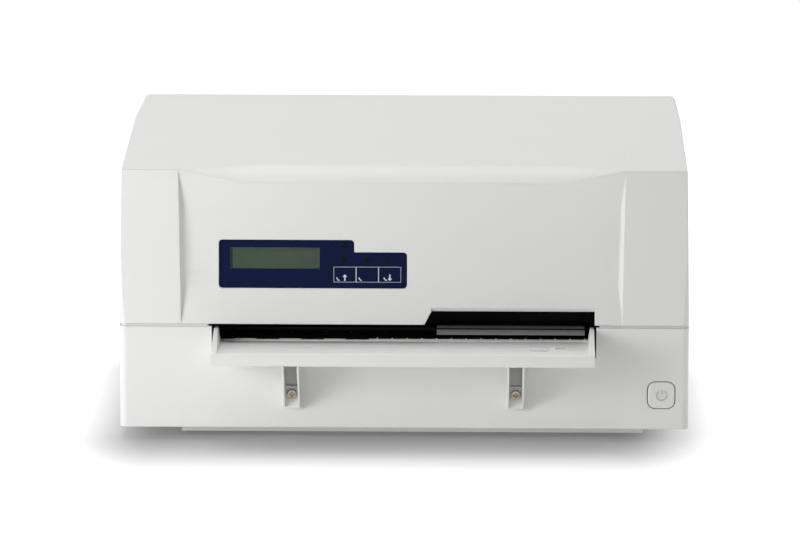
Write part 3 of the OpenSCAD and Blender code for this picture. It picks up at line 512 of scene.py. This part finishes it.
# thin printed or embossed marks: flat outlines on a plane, raised a little off it
def markPiece(name, outlines, plane, height, finish, body):
    origin, right, up = plane
    shape = bmesh.new()
    out = right.cross(up)
    for outline in outlines:
        low = [shape.verts.new(origin + right * u + up * v) for u, v in outline]
        base = shape.faces.new(low)
        grown = bmesh.ops.extrude_face_region(shape, geom=[base])["geom"]
        top = [part for part in grown if isinstance(part, bmesh.types.BMVert)]
        bmesh.ops.translate(shape, vec=out * height, verts=top)
    bmesh.ops.recalc_face_normals(shape, faces=shape.faces)
    mesh = bpy.data.meshes.new(name)
    shape.to_mesh(mesh)
    shape.free()
    mesh.materials.append(materials[finish])
    piece = bpy.data.objects.new(name, mesh)
    bpy.context.scene.collection.objects.link(piece)
    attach(piece, body)


def bar(u0, v0, u1, v1):
    return [(u0, v0), (u1, v0), (u1, v1), (u0, v1)]


def frameBars(u0, v0, u1, v1, t):
    return [bar(u0, v0, u1, v0 + t), bar(u0, v1 - t, u1, v1), bar(u0, v0 + t, u0 + t, v1 - t),
            bar(u1 - t, v0 + t, u1, v1 - t)]


# a curved stroke as short straight pieces that share their ends
def arcBars(cu, cv, r, t, start, end, steps):
    bars = []
    for i in range(steps):
        a, b = (math.radians(start + (end - start) * k / steps) for k in (i, i + 1))
        bars.append([(cu + q * math.cos(w), cv + q * math.sin(w))
                     for q, w in ((r - t / 2, a), (r + t / 2, a), (r + t / 2, b), (r - t / 2, b))])
    return bars


leftPress = next(joint for joint in frame["joints"] if joint["name"] == "left_key_press")
keyAxis = Vector(leftPress["axis"]).normalized()
panelUp = Vector((0, -keyAxis.z, keyAxis.y))
panelRight = Vector((1, 0, 0))

keyMarks = {
    "cellWide": 15.15 * mm,
    "cellHigh": 10.5 * mm,
    "line": 0.28 * mm,
    "ink": 0.03 * mm,
    "arrowHigh": 4.5 * mm,
    "arrowHead": 3.2 * mm,
    "arrowSlope": 1.1,          # length of the head for half its width
    "arrowStem": 0.95 * mm,
    "arrowRise": -2.1 * mm,     # the arrows sit below the middle of the key
    "crescentRise": -1.7 * mm,
    "crescentBend": 2.3 * mm,
    "crescentLine": 0.75 * mm,
    "crescentArc": (185, 262),  # degrees
    "crescentSteps": 8,
    "faceDepth": 0.2 * mm,      # points this near to the foremost one belong to the key's face
}
# each key: whether its arrow points up, down or is missing, and its crescent's shift to the side
keyDrawings = {"left": (1, -3.2 * mm), "middle": (0, -3.4 * mm), "right": (-1, -1.6 * mm)}


# middle of a node's front face on the sloping panel
def faceMiddle(name):
    points = [v.co for v in nodes[name].data.vertices]
    front = min(p.dot(keyAxis) for p in points)
    face = [p for p in points if p.dot(keyAxis) < front + keyMarks["faceDepth"]]
    ups = [p.dot(panelUp) for p in face]
    xs = [p.x for p in face]
    return (panelRight * (min(xs) + max(xs)) / 2 + panelUp * (min(ups) + max(ups)) / 2
            + keyAxis * front)


def arrowOutlines(sign):
    rise, half = keyMarks["arrowRise"], keyMarks["arrowHigh"] / 2
    head, stem = keyMarks["arrowHead"] / 2, keyMarks["arrowStem"] / 2
    neck = sign * (half - head * keyMarks["arrowSlope"])
    tip = [(0, rise + sign * half), (-head, rise + neck), (head, rise + neck)]
    foot = -sign * half
    return [tip, bar(-stem, rise + min(neck, foot), stem, rise + max(neck, foot))]


def crescent(shift):
    start, end = keyMarks["crescentArc"]
    return arcBars(shift, keyMarks["crescentRise"], keyMarks["crescentBend"],
                   keyMarks["crescentLine"], start, end, keyMarks["crescentSteps"])


def drawKeyMarks():
    wide, high = keyMarks["cellWide"] / 2, keyMarks["cellHigh"] / 2
    cell = frameBars(-wide, -high, wide, high, keyMarks["line"])
    for side, (sign, shift) in keyDrawings.items():
        key = side + "_key"
        plane = (faceMiddle(key), panelRight, panelUp)
        drawn = (arrowOutlines(sign) if sign else []) + crescent(shift)
        markPiece(side + "KeyMark", drawn, plane, keyMarks["ink"], "paleInk", key)
        markPiece(side + "KeyFrame", cell, plane, keyMarks["ink"], "paleInk", "cover")


drawKeyMarks()

powerMark = {
    "ring": 3.4 * mm,
    "line": 0.8 * mm,
    "height": 0.55 * mm,
    "gapDegrees": 30,        # to each side of the upright bar
    "steps": 40,
    "barFoot": 0.4 * mm,
    "barOver": 0.3 * mm,
}


def drawPowerMark():
    low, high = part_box("power_button")
    middle = Vector(((low.x + high.x) / 2, low.y, (low.z + high.z) / 2))
    ring, line = powerMark["ring"], powerMark["line"]
    upward, turn, gap = 90, 360, powerMark["gapDegrees"]
    outlines = arcBars(0, 0, ring, line, upward + gap, upward + turn - gap, powerMark["steps"])
    outlines.append(bar(-line / 2, powerMark["barFoot"], line / 2, ring + powerMark["barOver"]))
    plane = (middle, Vector((1, 0, 0)), Vector((0, 0, 1)))
    markPiece("powerMark", outlines, plane, powerMark["height"], "casePlastic", "power_button")


drawPowerMark()

# the table's raised sign for a sheet laid in, with an arrow beside it
tableMark = {
    "sheet": (84.2 * mm, -123 * mm, 96.2 * mm, -108.4 * mm),
    "line": 1.1 * mm,
    "arrow": (98.9 * mm, 107.9 * mm, -113.6 * mm),     # tip, tail and the y of both
    "head": 3 * mm,
    "rise": 7.9 * mm,        # the table's upper face above the foot of its solid
    "height": 0.9 * mm,
}


def drawTableMark():
    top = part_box("front_table")[0].z + tableMark["rise"]
    x0, y0, x1, y1 = tableMark["sheet"]
    line, head = tableMark["line"], tableMark["head"]
    tip, tail, y = tableMark["arrow"]
    outlines = [bar(x0, y0, x1, y0 + line), bar(x0, y1 - line, x1, y1),
                bar(tip + head, y - line / 2, tail, y + line / 2),
                [(tip, y), (tip + head, y - head), (tip + head, y + head)]]
    plane = (Vector((0, 0, top)), Vector((1, 0, 0)), Vector((0, 1, 0)))
    markPiece("tableMark", outlines, plane, tableMark["height"], "tablePlastic", "case")


drawTableMark()
print("marks drawn")


# a straight row of equal boxes, made by geometry nodes and baked to a plain mesh
def rowGroup():
    group = bpy.data.node_groups.new("boxRow", "GeometryNodeTree")
    kinds = {"Count": "Int", "First": "Vector", "Step": "Vector", "Box": "Vector",
             "Turn": "Vector", "Finish": "Material"}
    sockets = {}
    for label, kind in kinds.items():
        socket = group.interface.new_socket(label, in_out="INPUT", socket_type="NodeSocket" + kind)
        sockets[label] = socket.identifier
    group.interface.new_socket("Geometry", in_out="OUTPUT", socket_type="NodeSocketGeometry")
    given, out = group.nodes.new("NodeGroupInput"), group.nodes.new("NodeGroupOutput")
    line = addNode(group, "GeometryNodeMeshLine", mode="OFFSET")
    box = addNode(group, "GeometryNodeMeshCube")
    place = addNode(group, "GeometryNodeInstanceOnPoints")
    whole = addNode(group, "GeometryNodeRealizeInstances")
    paint = addNode(group, "GeometryNodeSetMaterial")
    for source, target in (
            (given.outputs["Count"], line.inputs["Count"]),
            (given.outputs["First"], line.inputs["Start Location"]),
            (given.outputs["Step"], line.inputs["Offset"]),
            (given.outputs["Box"], box.inputs["Size"]),
            (line.outputs["Mesh"], place.inputs["Points"]),
            (box.outputs["Mesh"], place.inputs["Instance"]),
            (given.outputs["Turn"], place.inputs["Rotation"]),
            (place.outputs["Instances"], whole.inputs["Geometry"]),
            (whole.outputs["Geometry"], paint.inputs["Geometry"]),
            (given.outputs["Finish"], paint.inputs["Material"]),
            (paint.outputs["Geometry"], out.inputs["Geometry"])):
        group.links.new(source, target)
    return group, sockets


boxRow, rowSockets = rowGroup()


def makeRow(name, values, finish, body):
    piece = bpy.data.objects.new(name, bpy.data.meshes.new(name))
    bpy.context.scene.collection.objects.link(piece)
    row = piece.modifiers.new("row", "NODES")
    row.node_group = boxRow
    for label, value in values.items():
        row[rowSockets[label]] = value
    row[rowSockets["Finish"]] = materials[finish]
    finishMesh(piece)
    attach(piece, body)


# what repeats: each row's boxes in metres and their turn in radians, finish, body and record slot
beltTeeth = {"Count": 136, "Step": (0.002, 0, 0), "Box": (0.001, 0.006, 0.0006)}
contacts = {"Count": 18, "Step": (0.0025, 0, 0), "Box": (0.0012, 0.006, 0.0003)}
ribs = {"Count": 9, "Step": (0.035, 0, 0), "Box": (0.0018, 0.11, 0.005), "Turn": (0.11633, 0, 0)}
rows = {
    "upperBeltTeeth": ({**beltTeeth, "First": (-0.135, 0.046, 0.1214)},
                       "rollerRubber", "case", "black_plastic"),
    "lowerBeltTeeth": ({**beltTeeth, "First": (-0.135, 0.046, 0.1026)},
                       "rollerRubber", "case", "black_plastic"),
    "coverRibs": ({**ribs, "First": (-0.14, -0.002, 0.189)},
                  "casePlastic", "cover", "case_plastic"),
    "upperContacts": ({**contacts, "First": (-0.11625, 0.133, 0.0361)},
                      "contactGold", "case", "zinc_steel"),
    "lowerContacts": ({**contacts, "First": (-0.11625, 0.133, 0.0319)},
                      "contactGold", "case", "zinc_steel"),
}
for name, (values, finish, body, slotName) in rows.items():
    makeRow(name, values, finish, body)
print("rows made:", len(rows))

white = (1, 1, 1, 1)

# lights, fitted to the photograph: a wide one overhead, two from the front left and a weak one
# from the right
lights = {
    "lamps": {
        "overhead": {"at": (-0.3, 0.2, 2.0), "size": 1.4, "power": 27.9},
        "front": {"at": (-1.0, -1.4, 1.0), "size": 0.8, "power": 4.3},
        "low": {"at": (-1.0, -0.8, 0.3), "size": 0.6, "power": 8.4},
        "right": {"at": (1.2, -0.2, 0.5), "size": 0.6, "power": 4.2},
    },
    "aim": (0, 0, 0.1),
    "room": 0.02,
}


def placeLights():
    aim = Vector(lights["aim"])
    for name, values in lights["lamps"].items():
        data = bpy.data.lights.new(name, "AREA")
        data.size = values["size"]
        data.energy = values["power"]
        lamp = bpy.data.objects.new(name, data)
        lamp.location = values["at"]
        lamp.rotation_euler = (aim - lamp.location).to_track_quat("-Z", "Y").to_euler()
        bpy.context.scene.collection.objects.link(lamp)


# one for the rays that show the backdrop: to the camera, in metal and through glass
def seenRays(tree):
    rays = addNode(tree, "ShaderNodeLightPath")
    seen = rays.outputs["Is Camera Ray"]
    for label in ("Is Glossy Ray", "Is Transmission Ray"):
        either = addNode(tree, "ShaderNodeMath", operation="MAXIMUM")
        tree.links.new(seen, either.inputs[0])
        tree.links.new(rays.outputs[label], either.inputs[1])
        seen = either.outputs[0]
    return seen


def whiteRoom():
    world = bpy.data.worlds.new("room")
    world.use_nodes = True
    tree = world.node_tree
    tree.nodes.clear()
    shown = addNode(tree, "ShaderNodeBackground", {"Color": white, "Strength": 1})
    lit = addNode(tree, "ShaderNodeBackground", {"Color": white, "Strength": lights["room"]})
    mix = addNode(tree, "ShaderNodeMixShader")
    out = addNode(tree, "ShaderNodeOutputWorld")
    tree.links.new(seenRays(tree), mix.inputs[0])
    tree.links.new(lit.outputs[0], mix.inputs[1])
    tree.links.new(shown.outputs[0], mix.inputs[2])
    tree.links.new(mix.outputs[0], out.inputs["Surface"])
    bpy.context.scene.world = world


# the floor keeps part of the printer's shadow and adds a painted shadow: its glow is dim at the
# printer's foot and turns white with the distance from it
floor = {
    "half": 6,
    "middle": (-0.01, 0.022, 0),
    "foot": (0.155, 0.105, 1),
    "stretch": (2, 1, 0),           # the white is reached sooner at the sides
    "reach": 0.172,
    # the painted shadow's glow beside the foot, and the glow where it has faded to white
    "near": 0.12,
    "far": 1.0,
    "plain": (0.9, 0.9, 0.9, 1),
    "seen": (0.3, 0.3, 0.3, 1),     # how much of the true light and shadow is seen
    "bounce": 0.19,
}


def floorMaterial():
    material = bpy.data.materials.new("floor")
    material.use_nodes = True
    tree = material.node_tree
    tree.nodes.clear()
    away = objectPlace(tree)
    for operation, value in (("SUBTRACT", floor["middle"]), ("ABSOLUTE", None),
                             ("SUBTRACT", floor["foot"]), ("MAXIMUM", (0, 0, 0)),
                             ("MULTIPLY", floor["stretch"])):
        step = addNode(tree, "ShaderNodeVectorMath", {1: value} if value else None,
                       operation=operation)
        tree.links.new(away, step.inputs[0])
        away = step.outputs[0]
    length = addNode(tree, "ShaderNodeVectorMath", operation="LENGTH")
    tree.links.new(away, length.inputs[0])
    rise = addNode(tree, "ShaderNodeMapRange",
                   {"From Max": floor["reach"], "To Min": floor["near"], "To Max": floor["far"]},
                   interpolation_type="SMOOTHSTEP")
    tree.links.new(length.outputs["Value"], rise.inputs["Value"])
    seen = seenRays(tree)
    strength = addNode(tree, "ShaderNodeMix", {2: floor["bounce"]}, data_type="FLOAT")
    tree.links.new(seen, strength.inputs[0])
    tree.links.new(rise.outputs["Result"], strength.inputs[3])
    glow = addNode(tree, "ShaderNodeEmission", {"Color": white})
    tree.links.new(strength.outputs[0], glow.inputs["Strength"])
    body = addNode(tree, "ShaderNodeBsdfDiffuse")
    tree.links.new(mixColour(tree, seen, floor["plain"], floor["seen"]), body.inputs["Color"])
    both = addNode(tree, "ShaderNodeAddShader")
    out = addNode(tree, "ShaderNodeOutputMaterial")
    tree.links.new(body.outputs[0], both.inputs[0])
    tree.links.new(glow.outputs[0], both.inputs[1])
    tree.links.new(both.outputs[0], out.inputs["Surface"])
    return material


def layFloor():
    half = floor["half"]
    corners = [(-half, -half, 0), (half, -half, 0), (half, half, 0), (-half, half, 0)]
    mesh = bpy.data.meshes.new("floor")
    mesh.from_pydata(corners, [], [(0, 1, 2, 3)])
    mesh.materials.append(floorMaterial())
    ground = bpy.data.objects.new("floor", mesh)
    bpy.context.scene.collection.objects.link(ground)


placeLights()
whiteRoom()
layFloor()
bpy.context.scene.view_settings.view_transform = "Standard"
print("lights and floor placed")
